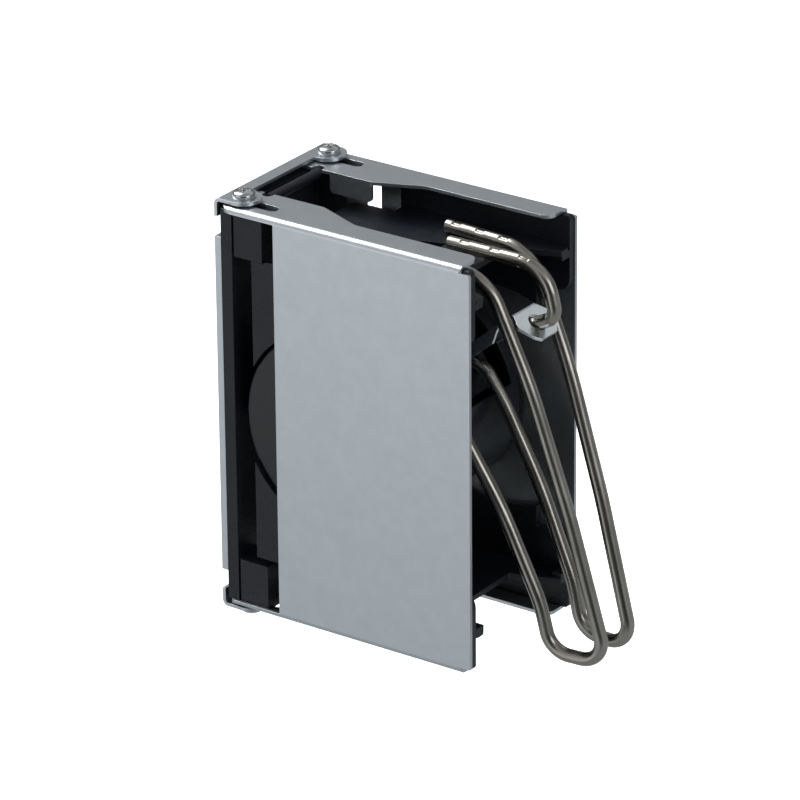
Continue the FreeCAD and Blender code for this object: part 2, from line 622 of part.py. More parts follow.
def spacer_rod():
    """Rod seated between the notches of the two upper flanges."""
    reach = HALF - FLANGE_WIDE + ROD / 4
    return rod_y(ROD_X, HEIGHT - ROD / 2, ROD / 2, -reach, reach)


def upper(shape):
    return shape.common(box(0, DEPTH, -HALF, HALF, MID, HEIGHT))


def lower(shape):
    return shape.common(box(0, DEPTH, -HALF, HALF, 0, MID))


os.makedirs("parts", exist_ok=True)

cheek = front_cheek()
save("front_cheek", [cheek])
save("rear_cheek", [mirror_y(cheek)])
save("back_bracket", [back_bracket()])
save("core_spine", [spine()])
panel = panel_blank(-INSIDE, -PANEL_INNER)
save("front_upper_panel", [upper(panel)])
save("front_lower_panel", [lower(panel)])
save("rear_upper_panel", [mirror_y(upper(panel))])
save("rear_lower_panel", [mirror_y(lower(panel))])
save("top_deck", [deck()])
save("bottom_deck", [mirror_z(deck())])
half_drum = drum_half()
save("drum_front_half", [half_drum])
save("drum_rear_half", [mirror_y(half_drum)])
save("front_bush", [bush()])
save("rear_bush", [mirror_y(bush())])
save("axle", [axle()])
save("retaining_rings", retaining_rings())
wire_arms = [wire_arm(-1), wire_arm(1)]
save("front_wire_arm", [wire_arms[0]])
save("rear_wire_arm", [wire_arms[1]])
save("hook_wire", [hook_wire()])
save("lever_plate", [lever()])
save("lever_rivets", lever_rivets())
save("rotor", [rotor(wire_arms)])
save("torsion_spring", [torsion_spring()])
corner_screws = four_corners(top_screw())
save("top_screws", corner_screws[:2])
save("bottom_screws", corner_screws[2:])
save("spacer_washers", four_corners(spacer_washer()))
save("threaded_inserts", four_corners(threaded_insert()))
save("spacer_rods", [spacer_rod(), mirror_z(spacer_rod())])
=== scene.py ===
"""Visual model of a compact computer holder: steel cheeks, a moulded core and a sprung jaw of bent wire."""

import json
import logging
import math
from dataclasses import dataclass, fields
from enum import Enum

import bpy
import numpy as np
from mathutils import Matrix, Vector


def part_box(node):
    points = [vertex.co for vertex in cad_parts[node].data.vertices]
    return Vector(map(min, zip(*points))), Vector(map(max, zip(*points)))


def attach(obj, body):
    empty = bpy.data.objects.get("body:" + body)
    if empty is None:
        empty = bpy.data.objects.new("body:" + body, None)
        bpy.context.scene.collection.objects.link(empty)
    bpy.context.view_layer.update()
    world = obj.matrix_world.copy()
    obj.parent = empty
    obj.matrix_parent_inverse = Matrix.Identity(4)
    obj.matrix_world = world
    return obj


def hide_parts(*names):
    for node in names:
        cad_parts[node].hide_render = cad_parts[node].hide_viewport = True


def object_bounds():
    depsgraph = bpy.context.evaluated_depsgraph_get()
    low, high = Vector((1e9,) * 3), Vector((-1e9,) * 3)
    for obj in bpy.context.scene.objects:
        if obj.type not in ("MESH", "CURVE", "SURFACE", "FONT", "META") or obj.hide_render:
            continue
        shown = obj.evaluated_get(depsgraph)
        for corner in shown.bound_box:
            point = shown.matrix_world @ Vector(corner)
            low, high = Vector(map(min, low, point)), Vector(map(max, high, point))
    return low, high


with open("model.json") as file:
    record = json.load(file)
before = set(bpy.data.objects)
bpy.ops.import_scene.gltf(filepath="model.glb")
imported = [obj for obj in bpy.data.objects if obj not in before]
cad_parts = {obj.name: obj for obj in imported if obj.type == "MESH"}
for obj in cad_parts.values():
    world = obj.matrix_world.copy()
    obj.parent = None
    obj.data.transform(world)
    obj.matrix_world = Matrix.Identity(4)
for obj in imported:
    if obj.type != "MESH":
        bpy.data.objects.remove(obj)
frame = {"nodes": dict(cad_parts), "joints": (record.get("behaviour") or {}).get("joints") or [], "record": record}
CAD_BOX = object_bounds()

log = logging.getLogger("computer_holder")
MM = 0.001
Colour = tuple[float, float, float]
Corner = tuple[float, float, float]
Place = tuple[float, float, float]
FEWEST_ARC_POINTS = 5
ARC_STEP = 0.09  # largest turn between two points of an arc, in radians


class Side(Enum):
    """The two sides of the holder, with the sign of Y on each."""

    FRONT = -1.0
    REAR = 1.0


class Pattern(Enum):
    """Which coordinates a finish follows."""

    BODY = "Object"
    ALONG = "UV"


class ScrewFace(Enum):
    """Which end of the holder a pair of screws is driven in from."""

    TOP = 1.0
    BOTTOM = -1.0


# ------------------------------------------------------------------ meshes


def object_from_faces(
    name: str, points: np.ndarray, faces: list[list[int]], uv: np.ndarray | None = None
) -> bpy.types.Object:
    """Makes a smooth mesh object from vertices and faces.

    Args:
        name: Name of the piece.
        points: Vertices in metres, one row each.
        faces: Vertex numbers of each face, in order.
        uv: One (along, around) pair in metres for each face corner, or None.

    Returns:
        The new object, linked to the scene.
    """
    mesh = bpy.data.meshes.new(name)
    mesh.from_pydata(points.tolist(), [], faces)
    if uv is not None:
        layer = mesh.uv_layers.new(name="along")
        layer.data.foreach_set("uv", uv.astype(np.float32).ravel())
    mesh.polygons.foreach_set("use_smooth", np.ones(len(mesh.polygons), dtype=bool))
    mesh.validate()
    mesh.update()
    piece = bpy.data.objects.new(name, mesh)
    bpy.context.scene.collection.objects.link(piece)
    return piece


def grid_faces(rows: int, columns: int) -> np.ndarray:
    """Faces of a grid that is open along its rows and closed round its columns.

    Args:
        rows: Number of rings.
        columns: Vertices in each ring.

    Returns:
        One row of four vertex numbers for each face, ring i to ring i + 1.
    """
    i, j = np.meshgrid(np.arange(rows - 1), np.arange(columns), indexing="ij")
    after = (j + 1) % columns
    ring, following = i * columns, (i + 1) * columns
    quads = np.stack([ring + j, ring + after, following + after, following + j], axis=-1)
    return quads.reshape(-1, 4)


def rounded_route(corners: tuple[Corner, ...], pitch: float) -> np.ndarray:
    """Centre line through the corners with each corner rounded to its own radius.

    A corner with turn angle a and radius r is replaced with an arc that starts and ends r tan(a / 2) from
    it; the straight parts between are divided evenly.

    Args:
        corners: (x, z, radius) of each corner, in millimetres.
        pitch: Largest distance between points, in millimetres.

    Returns:
        (x, z) points in millimetres, one row each.
    """
    flat = np.array(corners)[:, :2]
    runs = [flat[:1]]
    for before, corner, after, radius in zip(flat[:-2], flat[1:-1], flat[2:], np.array(corners)[1:-1, 2]):
        arriving = (corner - before) / np.linalg.norm(corner - before)
        leaving = (after - corner) / np.linalg.norm(after - corner)
        turn = math.atan2(arriving[0] * leaving[1] - arriving[1] * leaving[0], float(arriving @ leaving))
        cut = radius * math.tan(abs(turn) / 2)
        inward = math.copysign(radius, turn) * np.array([-arriving[1], arriving[0]])
        middle = corner - arriving * cut + inward
        start = -inward
        count = max(FEWEST_ARC_POINTS, int(abs(turn) * radius / pitch), int(abs(turn) / ARC_STEP))
        steps = np.linspace(0.0, turn, count)
        arc = np.stack([start[0] * np.cos(steps) - start[1] * np.sin(steps),
                        start[0] * np.sin(steps) + start[1] * np.cos(steps)], axis=1)
        runs.append(arc + middle)
    runs.append(flat[-1:])
    rough = np.concatenate(runs)
    length = np.concatenate([[0.0], np.cumsum(np.linalg.norm(np.diff(rough, axis=0), axis=1))])
    even = np.linspace(0.0, length[-1], int(length[-1] / pitch) + 1)
    return np.stack([np.interp(even, length, rough[:, 0]), np.interp(even, length, rough[:, 1])], axis=1)


# ---------------------------------------------------------------- finishes


class Bench:
    """One node material while it's being made."""

    def __init__(self, name: str) -> None:
        """Starts an empty material with a surface shader and an output."""
        self.material = bpy.data.materials.new(name)
        self.material.use_nodes = True
        self.tree = self.material.node_tree
        self.shader = self.tree.nodes["Principled BSDF"]

    def node(self, kind: str, **settings: object) -> bpy.types.Node:
        """Adds a node.

        Args:
            kind: Blender's name of the node type.
            settings: Properties of the node, or values of its inputs by identifier.

        Returns:
            The new node.
        """
        made = self.tree.nodes.new(kind)
        for key, value in settings.items():
            if key in made.inputs.keys():
                made.inputs[key].default_value = value
            else:
                setattr(made, key, value)
        return made

    def link(self, start: bpy.types.NodeSocket, end: bpy.types.NodeSocket) -> None:
        """Joins an output to an input."""
        self.tree.links.new(start, end)

    def noise(self, vector: bpy.types.NodeSocket, scale: float, detail: float) -> bpy.types.NodeSocket:
        """A cloud of noise over the vector.

        Args:
            vector: The coordinates it follows.
            scale: Patches for each metre.
            detail: Number of finer layers.

        Returns:
            The grey output.
        """
        made = self.node("ShaderNodeTexNoise", Scale=scale, Detail=detail, Roughness=0.55)
        self.link(vector, made.inputs["Vector"])
        return made.outputs["Fac"]

    def span(
        self, value: bpy.types.NodeSocket, low: float, high: float, start: float, end: float
    ) -> bpy.types.NodeSocket:
        """Maps low..high of a value to start..end.

        Args:
            value: The grey input.
            low: Input that gives start.
            high: Input that gives end.
            start: First output.
            end: Last output.

        Returns:
            The mapped output.
        """
        made = self.node("ShaderNodeMapRange")
        for socket, number in zip(made.inputs[1:5], (low, high, start, end)):
            socket.default_value = number
        self.link(value, made.inputs[0])
        return made.outputs[0]

    def times(self, first: bpy.types.NodeSocket, second: bpy.types.NodeSocket) -> bpy.types.NodeSocket:
        """The product of two grey values."""
        made = self.node("ShaderNodeMath", operation="MULTIPLY")
        self.link(first, made.inputs[0])
        self.link(second, made.inputs[1])
        return made.outputs[0]

    def blend(self, amount: bpy.types.NodeSocket, first: object, second: Colour) -> bpy.types.NodeSocket:
        """Blends a colour or a colour socket into a second colour.

        Args:
            amount: 0 for the first colour, 1 for the second.
            first: A colour, or a socket that gives one.
            second: The other colour.

        Returns:
            The blended colour.
        """
        made = self.node("ShaderNodeMix", data_type="RGBA")
        self.link(amount, made.inputs[0])
        if isinstance(first, tuple):
            made.inputs[6].default_value = (*first, 1.0)
        else:
            self.link(first, made.inputs[6])
        made.inputs[7].default_value = (*second, 1.0)
        return made.outputs[2]


@dataclass(frozen=True)
class Finish:
    """A surface finish: mottled colour, grain, streaks and edges lightened to another tone, a painted edge
    highlight mixed with wear.

    dark, light and edge are the colours. swing is how far the roughness moves either way. mottle and
    grain are patches per metre. grain_depth and edge_width are lengths. streaks stretches the pattern on
    each axis.
    """

    slot: str
    dark: Colour
    light: Colour
    edge: Colour
    metallic: float
    roughness: float
    swing: float
    mottle: float
    grain: float
    grain_depth: float
    edge_width: float
    edge_amount: float
    streaks: Colour = (1.0, 1.0, 1.0)
    pattern: Pattern = Pattern.BODY
    specular: float = 0.5
    streak_fineness: float = 5.0
    grain_strength: float = 0.7
    edge_start: float = 0.98
    edge_full: float = 0.80
    edge_kept: float = 0.35

    def material(self) -> bpy.types.Material:
        """Makes the node material.

        Colour blends from dark to light with broad noise. Roughness swings with a streaked noise. Grain is a
        fine noise used as bump. Edges are where the rounded normal leaves the flat one; there the colour is
        lightened towards the edge colour, a painted edge highlight mixed with wear, broken up by the streaks.

        Returns:
            The material.
        """
        bench = Bench(self.slot)
        place = bench.node("ShaderNodeTexCoord").outputs[self.pattern.value]
        stretched = bench.node("ShaderNodeMapping")
        stretched.inputs["Scale"].default_value = self.streaks
        bench.link(place, stretched.inputs["Vector"])
        clouds = bench.noise(place, self.mottle, 3.0)
        streak = bench.noise(stretched.outputs[0], self.mottle * self.streak_fineness, 4.0)
        grain = bench.noise(stretched.outputs[0], self.grain, 2.0)
        colour = bench.blend(bench.span(clouds, 0.3, 0.7, 0.0, 1.0), self.dark, self.light)
        rounded = bench.node("ShaderNodeBevel", samples=4)
        rounded.inputs["Radius"].default_value = self.edge_width
        flat = bench.node("ShaderNodeNewGeometry").outputs["Normal"]
        closeness = bench.node("ShaderNodeVectorMath", operation="DOT_PRODUCT")
        bench.link(rounded.outputs[0], closeness.inputs[0])
        bench.link(flat, closeness.inputs[1])
        # Painted edge highlight mixed with wear: the colour is lightened towards the edge colour where the edge
        # mask is high.
        edge_sheen_and_wear = bench.span(closeness.outputs["Value"], self.edge_start, self.edge_full, 0.0, self.edge_amount)
        edge_sheen_and_wear = bench.times(edge_sheen_and_wear, bench.span(streak, 0.35, 0.6, self.edge_kept, 1.0))
        colour = bench.blend(edge_sheen_and_wear, colour, self.edge)
        bench.link(colour, bench.shader.inputs["Base Color"])
        smoothest, roughest = self.roughness - self.swing, self.roughness + self.swing
        uneven = bench.span(streak, 0.3, 0.7, smoothest, roughest)
        bench.link(uneven, bench.shader.inputs["Roughness"])
        bump = bench.node("ShaderNodeBump", Strength=self.grain_strength, Distance=self.grain_depth)
        bench.link(grain, bump.inputs["Height"])
        bench.link(rounded.outputs[0], bump.inputs["Normal"])
        bench.link(bump.outputs[0], bench.shader.inputs["Normal"])
        bench.shader.inputs["Metallic"].default_value = self.metallic
        bench.shader.inputs["Specular IOR Level"].default_value = self.specular
        return bench.material


@dataclass(frozen=True)
class FinishShelf:
    """Every finish of the holder. Colours are linear, lengths are in metres and patches are per metre."""

    satin_sheet: Finish = Finish(
        slot="sheet_steel", dark=(0.565, 0.605, 0.64), light=(0.60, 0.64, 0.675),
        edge=(0.86, 0.89, 0.92), metallic=0.92, roughness=0.33, swing=0.03, mottle=160.0,
        grain=3000.0, grain_depth=0.00005, edge_width=0.00035, edge_amount=0.6)
    moulding: Finish = Finish(
        slot="black_moulding", dark=(0.007, 0.009, 0.014), light=(0.011, 0.0145, 0.021),
        edge=(0.045, 0.052, 0.066), metallic=0.0, roughness=0.38, swing=0.06, mottle=35.0,
        grain=1250.0, grain_depth=0.00040, edge_width=0.0004, edge_amount=0.7, specular=0.38)
    drum: Finish = Finish(
        slot="drum_black", dark=(0.007, 0.009, 0.014), light=(0.010, 0.012, 0.017),
        edge=(0.06, 0.066, 0.076), metallic=0.0, roughness=0.32, swing=0.06, mottle=30.0,
        grain=3000.0, grain_depth=0.00004, edge_width=0.0004, edge_amount=0.5)
    wire: Finish = Finish(
        slot="wire_steel", dark=(0.29, 0.275, 0.245), light=(0.42, 0.405, 0.37),
        edge=(0.6, 0.58, 0.55), metallic=1.0, roughness=0.27, swing=0.07, mottle=60.0, grain=900.0,
        grain_depth=0.00003, edge_width=0.0003, edge_amount=0.5, streaks=(0.08, 2.2, 1.0),
        pattern=Pattern.ALONG)
    bright: Finish = Finish(
        slot="bright_steel", dark=(0.46, 0.48, 0.49), light=(0.60, 0.62, 0.63),
        edge=(0.8, 0.81, 0.82), metallic=1.0, roughness=0.20, swing=0.06, mottle=300.0, grain=4000.0,
        grain_depth=0.00001, edge_width=0.0002, edge_amount=0.5)
    zinc: Finish = Finish(
        slot="zinc_plate", dark=(0.80, 0.86, 0.89), light=(0.88, 0.92, 0.94),
        edge=(0.93, 0.95, 0.97), metallic=1.0, roughness=0.22, swing=0.06, mottle=110.0,
        grain=2400.0, grain_depth=0.00003, edge_width=0.0003, edge_amount=0.7,
        streaks=(1.0, 6.0, 1.0))
    axle: Finish = Finish(
        slot="axle_steel", dark=(0.40, 0.40, 0.40), light=(0.52, 0.52, 0.52),
        edge=(0.75, 0.75, 0.75), metallic=1.0, roughness=0.30, swing=0.06, mottle=200.0,
        grain=5000.0, grain_depth=0.00001, edge_width=0.0003, edge_amount=0.6,
        streaks=(6.0, 0.3, 6.0))
    bronze: Finish = Finish(
        slot="bronze", dark=(0.36, 0.24, 0.12), light=(0.50, 0.36, 0.19), edge=(0.7, 0.55, 0.32),
        metallic=1.0, roughness=0.42, swing=0.08, mottle=400.0, grain=6000.0, grain_depth=0.00002,
        edge_width=0.0003, edge_amount=0.6)
    brass: Finish = Finish(
        slot="insert_brass", dark=(0.58, 0.45, 0.20), light=(0.72, 0.58, 0.30),
        edge=(0.85, 0.74, 0.45), metallic=1.0, roughness=0.32, swing=0.08, mottle=400.0,
        grain=5000.0, grain_depth=0.00002, edge_width=0.0002, edge_amount=0.6)
    spring: Finish = Finish(
        slot="spring_steel", dark=(0.10, 0.10, 0.105), light=(0.17, 0.17, 0.175),
        edge=(0.4, 0.4, 0.4), metallic=1.0, roughness=0.34, swing=0.07, mottle=250.0, grain=4000.0,
        grain_depth=0.00002, edge_width=0.0002, edge_amount=0.6)
    spacer: Finish = Finish(
        slot="spacer_black", dark=(0.012, 0.012, 0.013), light=(0.022, 0.022, 0.024),
        edge=(0.05, 0.05, 0.055), metallic=0.0, roughness=0.60, swing=0.08, mottle=300.0,
        grain=5000.0, grain_depth=0.00003, edge_width=0.0002, edge_amount=0.4)

    def made(self) -> dict[str, bpy.types.Material]:
        """The material of each finish, by slot."""
        finishes = [getattr(self, entry.name) for entry in fields(self)]
        return {finish.slot: finish.material() for finish in finishes}


def lay_on(piece: bpy.types.Object, material: bpy.types.Material) -> None:
    """Gives a piece its one material."""
    piece.data.materials.clear()
    piece.data.materials.append(material)


# ------------------------------------------------------------- sub-assemblies


@dataclass
class SheetAndMoulding:
    """The pieces that keep their made shape: sheet metal, mouldings, drum, axle and small parts."""

    materials: dict[str, bpy.types.Material]
    record: dict

    def dress(self) -> int:
        """Gives every node the finish that the record names for it.

        Returns:
            The number of nodes dressed.
        """
        slots = {part["node"]: part["material_slot"] for part in self.record["subparts"]}
        for node, slot in slots.items():
            lay_on(frame["nodes"][node], self.materials[slot])
        return len(slots)


@dataclass
class BentWire:
    """A round wire bent in one leaning plane, with square ends and pressed marks on its top run.

    Lengths are in millimetres, and corners are (x, z, bend radius) from the jaw axis.
    """

    name: str
    node: str
    body: str
    corners: tuple[Corner, ...]
    material: bpy.types.Material
    side: float = 0.0
    diameter: float = 6.0
    chamfer: float = 0.5
    top_y: float = 18.3
    close_along: float = 0.0774
    close_down: float = 0.0148
    spread_x: float = 41.0
    marks: tuple[float, ...] = ()
    mark_length: float = 4.0
    mark_width: float = 0.55
    mark_depth: float = 0.5
    mark_turn: float = 1.75
    mark_soft_length: float = 0.5
    mark_soft_turn: float = 0.15
    cap_along: float = 0.5
    cap_step: float = 0.1
    pitch: float = 0.8
    around: int = 40

    def centre_line(self, pivot: Vector) -> np.ndarray:
        """Points along the wire in metres.

        The rounded route lies in x and z; y falls off in a straight line with x and with the drop below the
        top run, so the two arms lean together.

        Args:
            pivot: Position of the jaw axis.

        Returns:
            One point for each ring.
        """
        flat = rounded_route(self.corners, self.pitch)
        drop = self.corners[0][1] - flat[:, 1]
        spread = self.top_y - self.close_along * (flat[:, 0] - self.spread_x) - self.close_down * drop
        return np.array(pivot) + np.stack([flat[:, 0], self.side * spread, flat[:, 1]], axis=1) * MM

    def radii(self, along: np.ndarray, turn: np.ndarray) -> np.ndarray:
        """Radius of the wire at each ring and angle, in millimetres.

        It's the wire radius, less a chamfer that grows in a straight line over the last part of each end,
        less a pressed mark. The mark has a flat bottom and straight ramps, in the distance along the wire and
        in the angle round it.

        Args:
            along: Distance along the wire of each ring.
            turn: Angle of each vertex of a ring.

        Returns:
            One row for each ring.
        """
        radius = self.diameter / 2
        ends = np.minimum(along, along[-1] - along)
        edge = np.clip(1.0 - ends / self.chamfer, 0.0, 1.0) * self.chamfer
        depth = np.zeros((len(along), len(turn)))
        for mark in self.marks:
            inside = self.mark_length / 2 - np.abs(along - mark)
            lengthwise = np.clip(inside / self.mark_soft_length + 0.5, 0.0, 1.0)
            within = self.mark_width - np.abs(turn - self.mark_turn)
            crosswise = np.clip(within / self.mark_soft_turn + 0.5, 0.0, 1.0)
            depth = np.maximum(depth, np.outer(lengthwise, crosswise) * self.mark_depth)
        return radius - edge[:, None] - depth

    def build(self, pivot: Vector) -> bpy.types.Object:
        """Sweeps the round section along the centre line.

        Each ring is centre + radius (cos a across + sin a up), where up is square to the wire and to Y.

        Args:
            pivot: Position of the jaw axis.

        Returns:
            The finished wire, riding its body.
        """
        line = self.centre_line(pivot)
        steps = np.linalg.norm(np.diff(line, axis=0), axis=1) / MM
        along = np.concatenate([[0.0], np.cumsum(steps)])
        extra = np.array([self.chamfer * 0.5, self.chamfer])
        extra = np.concatenate([extra, along[-1] - extra])
        outer, inner = (self.mark_length / 2 + self.mark_soft_length * part for part in (0.5, -0.5))
        edges = np.add.outer(self.marks, [-outer, -inner, inner, outer]).ravel()
        stations = np.unique(np.concatenate([along, extra, edges]))
        line = np.stack([np.interp(stations, along, line[:, k]) for k in range(3)], axis=1)
        ahead = np.gradient(line, axis=0)
        ahead /= np.linalg.norm(ahead, axis=1)[:, None]
        across = np.array([0.0, 1.0, 0.0]) - ahead * ahead[:, 1:2]
        across /= np.linalg.norm(across, axis=1)[:, None]
        up = np.cross(ahead, across)
        turn = np.arange(self.around) * 2 * np.pi / self.around
        reach = self.radii(stations, turn)[:, :, None] * MM
        ring = np.multiply.outer(np.cos(turn), across) + np.multiply.outer(np.sin(turn), up)
        ring = ring.transpose(1, 0, 2)
        points = (line[:, None, :] + reach * ring).reshape(-1, 3)
        quads = grid_faces(len(stations), self.around)[:, ::-1]
        step = np.arange(self.around)
        first, last = step, step[::-1] + (len(stations) - 1) * self.around
        faces = quads.tolist() + [first.tolist(), last.tolist()]
        ring_of = quads // self.around
        step_of = quads % self.around
        at_seam = step_of.max(axis=1)[:, None] == self.around - 1
        wrapped = np.where((step_of == 0) & at_seam, self.around, step_of)
        around = wrapped * (self.diameter * math.pi / self.around)
        uv = np.stack([stations[ring_of], around], axis=-1).reshape(-1, 2)
        cap_lengths = np.full(2 * self.around, self.cap_along)
        caps = np.stack([cap_lengths, np.tile(step * self.cap_step, 2)], axis=1)
        piece = object_from_faces(self.name, points, faces, np.concatenate([uv, caps]) * MM)
        lay_on(piece, self.material)
        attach(piece, self.body)
        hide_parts(self.node)
        return piece


@dataclass
class ScrewPair:
    """Two pan head machine screws with cross recesses. Lengths are in millimetres."""

    name: str
    node: str
    face: ScrewFace
    material: bpy.types.Material
    shank: float = 5.0
    length: float = 14.0
    head: float = 9.8
    head_height: float = 3.2
    rim: float = 1.5
    recess_half: float = 2.65
    recess_width: float = 0.62
    recess_depth: float = 1.7
    recess_side_slope: float = 0.12
    recess_end_slope: float = 0.25
    foot_chamfer: float = 0.4
    seat_edge: float = 0.15
    seat_step: float = 0.01
    crown_power: float = 0.75
    crown_rings: int = 55
    around: int = 96
    first_turn: float = 0.35
    next_turn: float = 0.5

    def profile(self) -> np.ndarray:
        """(radius, height) of the outline from the foot of the shank to the crown, height 0 at the seat.

        The crown is a quarter turn between the rim and the top: the height is a sine, and the radius a
        cosine raised to a power under one, which makes the pan fuller than an ellipse.

        Returns:
            One row for each ring.
        """
        body, cap = self.shank / 2, self.head / 2
        foot = [(body - self.foot_chamfer, -self.length), (body, self.foot_chamfer - self.length),
                (body, -self.seat_step), (cap - self.seat_edge, 0.0), (cap, self.seat_edge)]
        sweep = np.linspace(0.0, np.pi / 2, self.crown_rings + 1)[:-1]
        rise = self.head_height - self.rim
        crown = np.stack([cap * np.cos(sweep) ** self.crown_power, self.rim + rise * np.sin(sweep)], axis=1)
        return np.concatenate([np.array(foot), crown])

    def one(self) -> tuple[np.ndarray, np.ndarray, np.ndarray]:
        """One screw about its own axis, seat at height 0 and head up.

        The outline is turned round the axis, then the crown is lowered inside a cross whose two bars have
        soft walls, the way a driver recess is struck.

        Returns:
            Vertices in millimetres with the two poles last, the four-sided faces, and the fans round the
            poles.
        """
        outline = self.profile()
        turn = np.arange(self.around) * 2 * np.pi / self.around
        x = outline[:, :1] * np.cos(turn)
        y = outline[:, :1] * np.sin(turn)
        z = np.repeat(outline[:, 1:2], self.around, axis=1)
        long_side = np.maximum(np.abs(x), np.abs(y))
        short_side = np.minimum(np.abs(x), np.abs(y))
        inside = np.clip((self.recess_width - short_side) / self.recess_side_slope, 0.0, 1.0)
        inside *= np.clip((self.recess_half - long_side) / self.recess_end_slope, 0.0, 1.0)
        z = z - np.where(z > self.rim, inside * self.recess_depth, 0.0)
        rings = np.stack([x, y, z], axis=-1).reshape(-1, 3)
        poles = np.array([[0.0, 0.0, -self.length], [0.0, 0.0, self.head_height - self.recess_depth]])
        count = len(outline)
        here = np.arange(self.around)
        after = (here + 1) % self.around
        low, high = count * self.around, count * self.around + 1
        bottom = np.stack([after, here, np.full_like(here, low)], axis=1)
        base = (count - 1) * self.around
        top = np.stack([here + base, after + base, np.full_like(here, high)], axis=1)
        return np.concatenate([rings, poles]), grid_faces(count, self.around), np.concatenate([bottom, top])

    def build(self) -> bpy.types.Object:
        """Places two screws where the node has them and joins them into one piece.

        Returns:
            The finished pair, riding the frame.
        """
        low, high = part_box(self.node)
        single, quads, fans = self.one()
        flip = self.face.value
        crown = high.z if self.face is ScrewFace.TOP else low.z
        seat = crown - flip * self.head_height * MM
        offset = high.y - self.head * MM / 2
        points, faces = [], []
        for index, side in enumerate(Side):
            spin = Matrix.Rotation(-self.first_turn - self.next_turn * index, 3, "Z")
            placed = single @ np.array(spin) * np.array([1.0, flip, flip]) * MM
            points.append(placed + np.array([(low.x + high.x) / 2, side.value * offset, seat]))
            faces += (quads + index * len(single)).tolist() + (fans + index * len(single)).tolist()
        piece = object_from_faces(self.name, np.concatenate(points), faces)
        lay_on(piece, self.material)
        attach(piece, "frame")
        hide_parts(self.node)
        return piece


# ------------------------------------------------------------------- studio


@dataclass(frozen=True)
class SoftBox:
    """A square soft box: its place and size in metres and its power in watts."""

    name: str
    place: Place
    size: float
    power: float


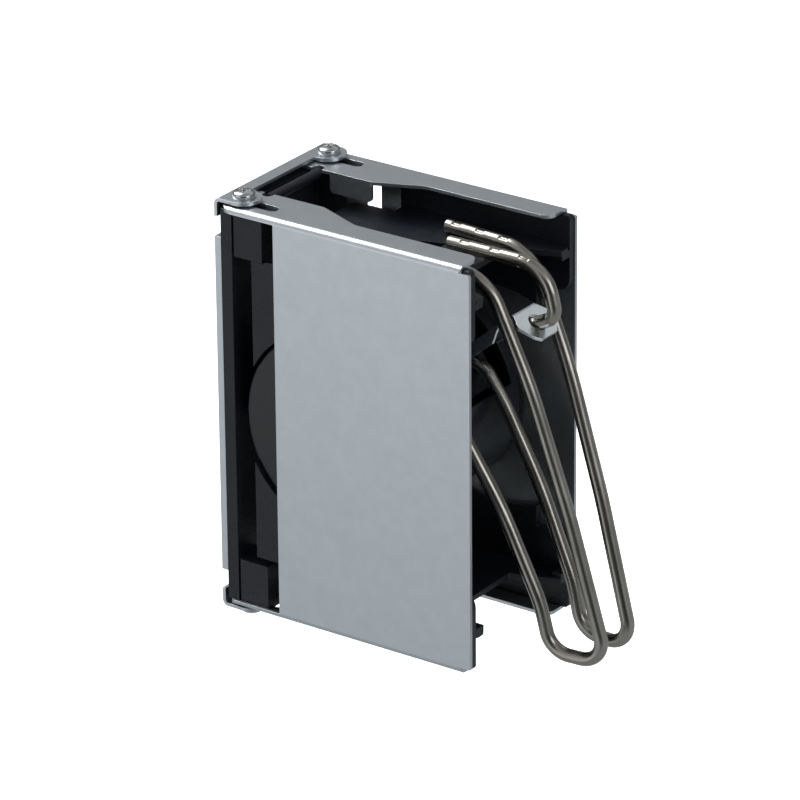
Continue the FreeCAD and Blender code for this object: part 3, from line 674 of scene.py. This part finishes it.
@dataclass
class Studio:
    """Pale floor, soft lights and the camera. Angles are in degrees and lengths in metres."""

    azimuth: float = 35.13
    elevation: float = 23.86
    roll: float = 0.52
    distance: float = 2.431
    lens: float = 259.2
    aim: Place = (0.066, 0.0, 0.0)
    aim_right: float = 0.00097
    aim_up: float = 0.0038
    floor_drop: float = 0.30
    sky_strength: float = 0.6
    shade_side: Place = (0.575, -0.818, 0.0)
    floor_reach: float = 30.0
    sky_stops: tuple[tuple[float, Colour], ...] = (
        (0.44, (0.69, 0.73, 0.755)), (0.56, (0.30, 0.31, 0.33)), (0.71, (0.24, 0.2424, 0.2472)),
        (0.78, (0.95, 0.9595, 0.9785)), (0.88, (0.80, 0.808, 0.824)), (1.0, (0.42, 0.4242, 0.4326)))
    shade_start: float = 0.78
    shade_full: float = 0.96
    shade_left: float = 0.12
    soft_boxes: tuple[SoftBox, ...] = (
        SoftBox("overhead_box", (-1.05, 0.03, 1.45), 1.1, 26.0),
        SoftBox("front_box", (-0.9, -2.4, 0.1), 2.4, 12.0),
        SoftBox("open_end_box", (2.2, -0.5, 0.9), 1.2, 10.0))

    def camera(self) -> bpy.types.Object:
        """Makes the camera: it looks at the aim point from the azimuth and elevation, a little rolled."""
        a, e, t = (math.radians(v) for v in (self.azimuth, self.elevation, self.roll))
        ahead = Vector((-math.sin(a) * math.cos(e), math.cos(a) * math.cos(e), -math.sin(e)))
        right = Vector((math.cos(a), math.sin(a), 0.0))
        up = right.cross(ahead)
        aim = Vector(self.aim) + right * self.aim_right + up * self.aim_up
        rolled_right = right * math.cos(t) - up * math.sin(t)
        rolled_up = right * math.sin(t) + up * math.cos(t)
        data = bpy.data.cameras.new("studio_camera")
        data.lens = self.lens
        data.sensor_width = 36.0
        camera = bpy.data.objects.new("studio_camera", data)
        turn = Matrix((rolled_right, rolled_up, -ahead)).transposed().to_4x4()
        camera.matrix_world = Matrix.Translation(aim - ahead * self.distance) @ turn
        bpy.context.scene.collection.objects.link(camera)
        bpy.context.scene.camera = camera
        return camera

    def floor(self, lowest: float) -> bpy.types.Object:
        """Makes the pale floor well below the holder.

        Args:
            lowest: Height of the holder's lowest point.

        Returns:
            The floor.
        """
        corners = np.array([[-1, -1], [1, -1], [1, 1], [-1, 1]]) * self.floor_reach
        level = np.full((4, 1), lowest - self.floor_drop)
        floor = object_from_faces("floor", np.hstack([corners, level]), [[0, 1, 2, 3]])
        bench = Bench("pale_floor")
        bench.shader.inputs["Base Color"].default_value = (0.9, 0.9, 0.9, 1.0)
        bench.shader.inputs["Roughness"].default_value = 0.9
        bench.shader.inputs["Emission Color"].default_value = (1.0, 1.0, 1.0, 1.0)
        bench.shader.inputs["Emission Strength"].default_value = 1.0
        lay_on(floor, bench.material)
        floor.visible_diffuse = False
        floor.visible_glossy = False
        return floor

    def light(self) -> None:
        """Makes the soft boxes, each turned to the aim point."""
        for soft_box in self.soft_boxes:
            data = bpy.data.lights.new(soft_box.name, "AREA")
            data.shape = "SQUARE"
            data.size = soft_box.size
            data.energy = soft_box.power
            towards_aim = Vector(self.aim) - Vector(soft_box.place)
            lamp = bpy.data.objects.new(soft_box.name, data)
            lamp.location = soft_box.place
            lamp.rotation_mode = "QUATERNION"
            lamp.rotation_quaternion = towards_aim.to_track_quat("-Z", "Y")
            bpy.context.scene.collection.objects.link(lamp)

    def sky(self) -> None:
        """Makes a pale sky with a dim band, and a dim patch that gives the wires their dark core.

        The colour is a ramp over the height of the direction. The strength falls where the direction nears
        the shade side.
        """
        world = bpy.data.worlds.new("studio_sky")
        world.use_nodes = True
        bpy.context.scene.world = world
        tree = world.node_tree
        background = tree.nodes["Background"]
        direction = tree.nodes.new("ShaderNodeTexCoord").outputs["Generated"]
        split = tree.nodes.new("ShaderNodeSeparateXYZ")
        height = tree.nodes.new("ShaderNodeMapRange")
        height.inputs["From Min"].default_value = -1.0
        ramp = tree.nodes.new("ShaderNodeValToRGB")
        stops = ramp.color_ramp.elements
        for index, (position, colour) in enumerate(self.sky_stops):
            stop = stops[index] if index < len(stops) else stops.new(position)
            stop.position = position
            stop.color = (*colour, 1.0)
        tree.links.new(direction, split.inputs[0])
        tree.links.new(split.outputs["Z"], height.inputs[0])
        tree.links.new(height.outputs[0], ramp.inputs[0])
        tree.links.new(ramp.outputs[0], background.inputs["Color"])
        facing = tree.nodes.new("ShaderNodeVectorMath")
        facing.operation = "DOT_PRODUCT"
        facing.inputs[1].default_value = self.shade_side
        shade = tree.nodes.new("ShaderNodeMapRange")
        numbers = (self.shade_start, self.shade_full, self.sky_strength, self.sky_strength * self.shade_left)
        for socket, number in zip(shade.inputs[1:5], numbers):
            socket.default_value = number
        tree.links.new(direction, facing.inputs[0])
        tree.links.new(facing.outputs["Value"], shade.inputs[0])
        tree.links.new(shade.outputs[0], background.inputs["Strength"])


# Corners of the wires from the jaw axis: x, z and bend radius, in millimetres.
ARM_CORNERS: tuple[Corner, ...] = (
    (19.0, 79.7, 0.0), (63.5, 79.7, 20.5), (84.2, 32.6, 260.0), (102.0, -21.5, 300.0),
    (119.5, -85.3, 9.5), (92.7, -85.3, 11.0), (87.7, -64.1, 60.0), (70.0, -25.1, 200.0),
    (50.7, 7.0, 100.0), (38.7, 22.0, 12.0), (21.0, 22.0, 0.0))
HOOK_CORNERS: tuple[Corner, ...] = (
    (33.5, 82.2, 0.0), (81.6, 82.2, 16.0), (86.97, 60.8, 6.0), (75.7, 55.2, 0.0))


def main() -> None:
    """Builds and dresses the holder in order, then sets up the studio."""
    logging.basicConfig(level=logging.INFO, format="%(name)s: %(message)s")
    materials = FinishShelf().made()
    dressed = SheetAndMoulding(materials, frame["record"]).dress()
    log.info("dressed %d nodes", dressed)
    jaw = next(joint for joint in frame["joints"] if joint["name"] == "jaw_swing")
    pivot = Vector(jaw["pos_m"])
    wire, bright = materials["wire_steel"], materials["bright_steel"]
    arm_marks, hook_marks = (6.0, 18.6, 31.0), (9.0, 24.0, 38.0)
    pieces = [
        BentWire("front_arm_wire", "front_wire_arm", "jaw", ARM_CORNERS, wire, Side.FRONT.value,
                 marks=arm_marks).build(pivot),
        BentWire("rear_arm_wire", "rear_wire_arm", "jaw", ARM_CORNERS, wire, Side.REAR.value,
                 marks=arm_marks).build(pivot),
        BentWire("hook_wire_bent", "hook_wire", "hook", HOOK_CORNERS, wire,
                 marks=hook_marks).build(pivot),
        ScrewPair("top_screw_pair", "top_screws", ScrewFace.TOP, bright).build(),
        ScrewPair("bottom_screw_pair", "bottom_screws", ScrewFace.BOTTOM, bright).build(),
    ]
    for piece in pieces:
        log.info("%s: %d faces", piece.name, len(piece.data.polygons))
    studio = Studio()
    studio.floor(CAD_BOX[0].z)
    studio.light()
    studio.sky()
    studio.camera()
    bpy.context.scene.view_settings.view_transform = "Standard"


if __name__ == "__main__":
    main()
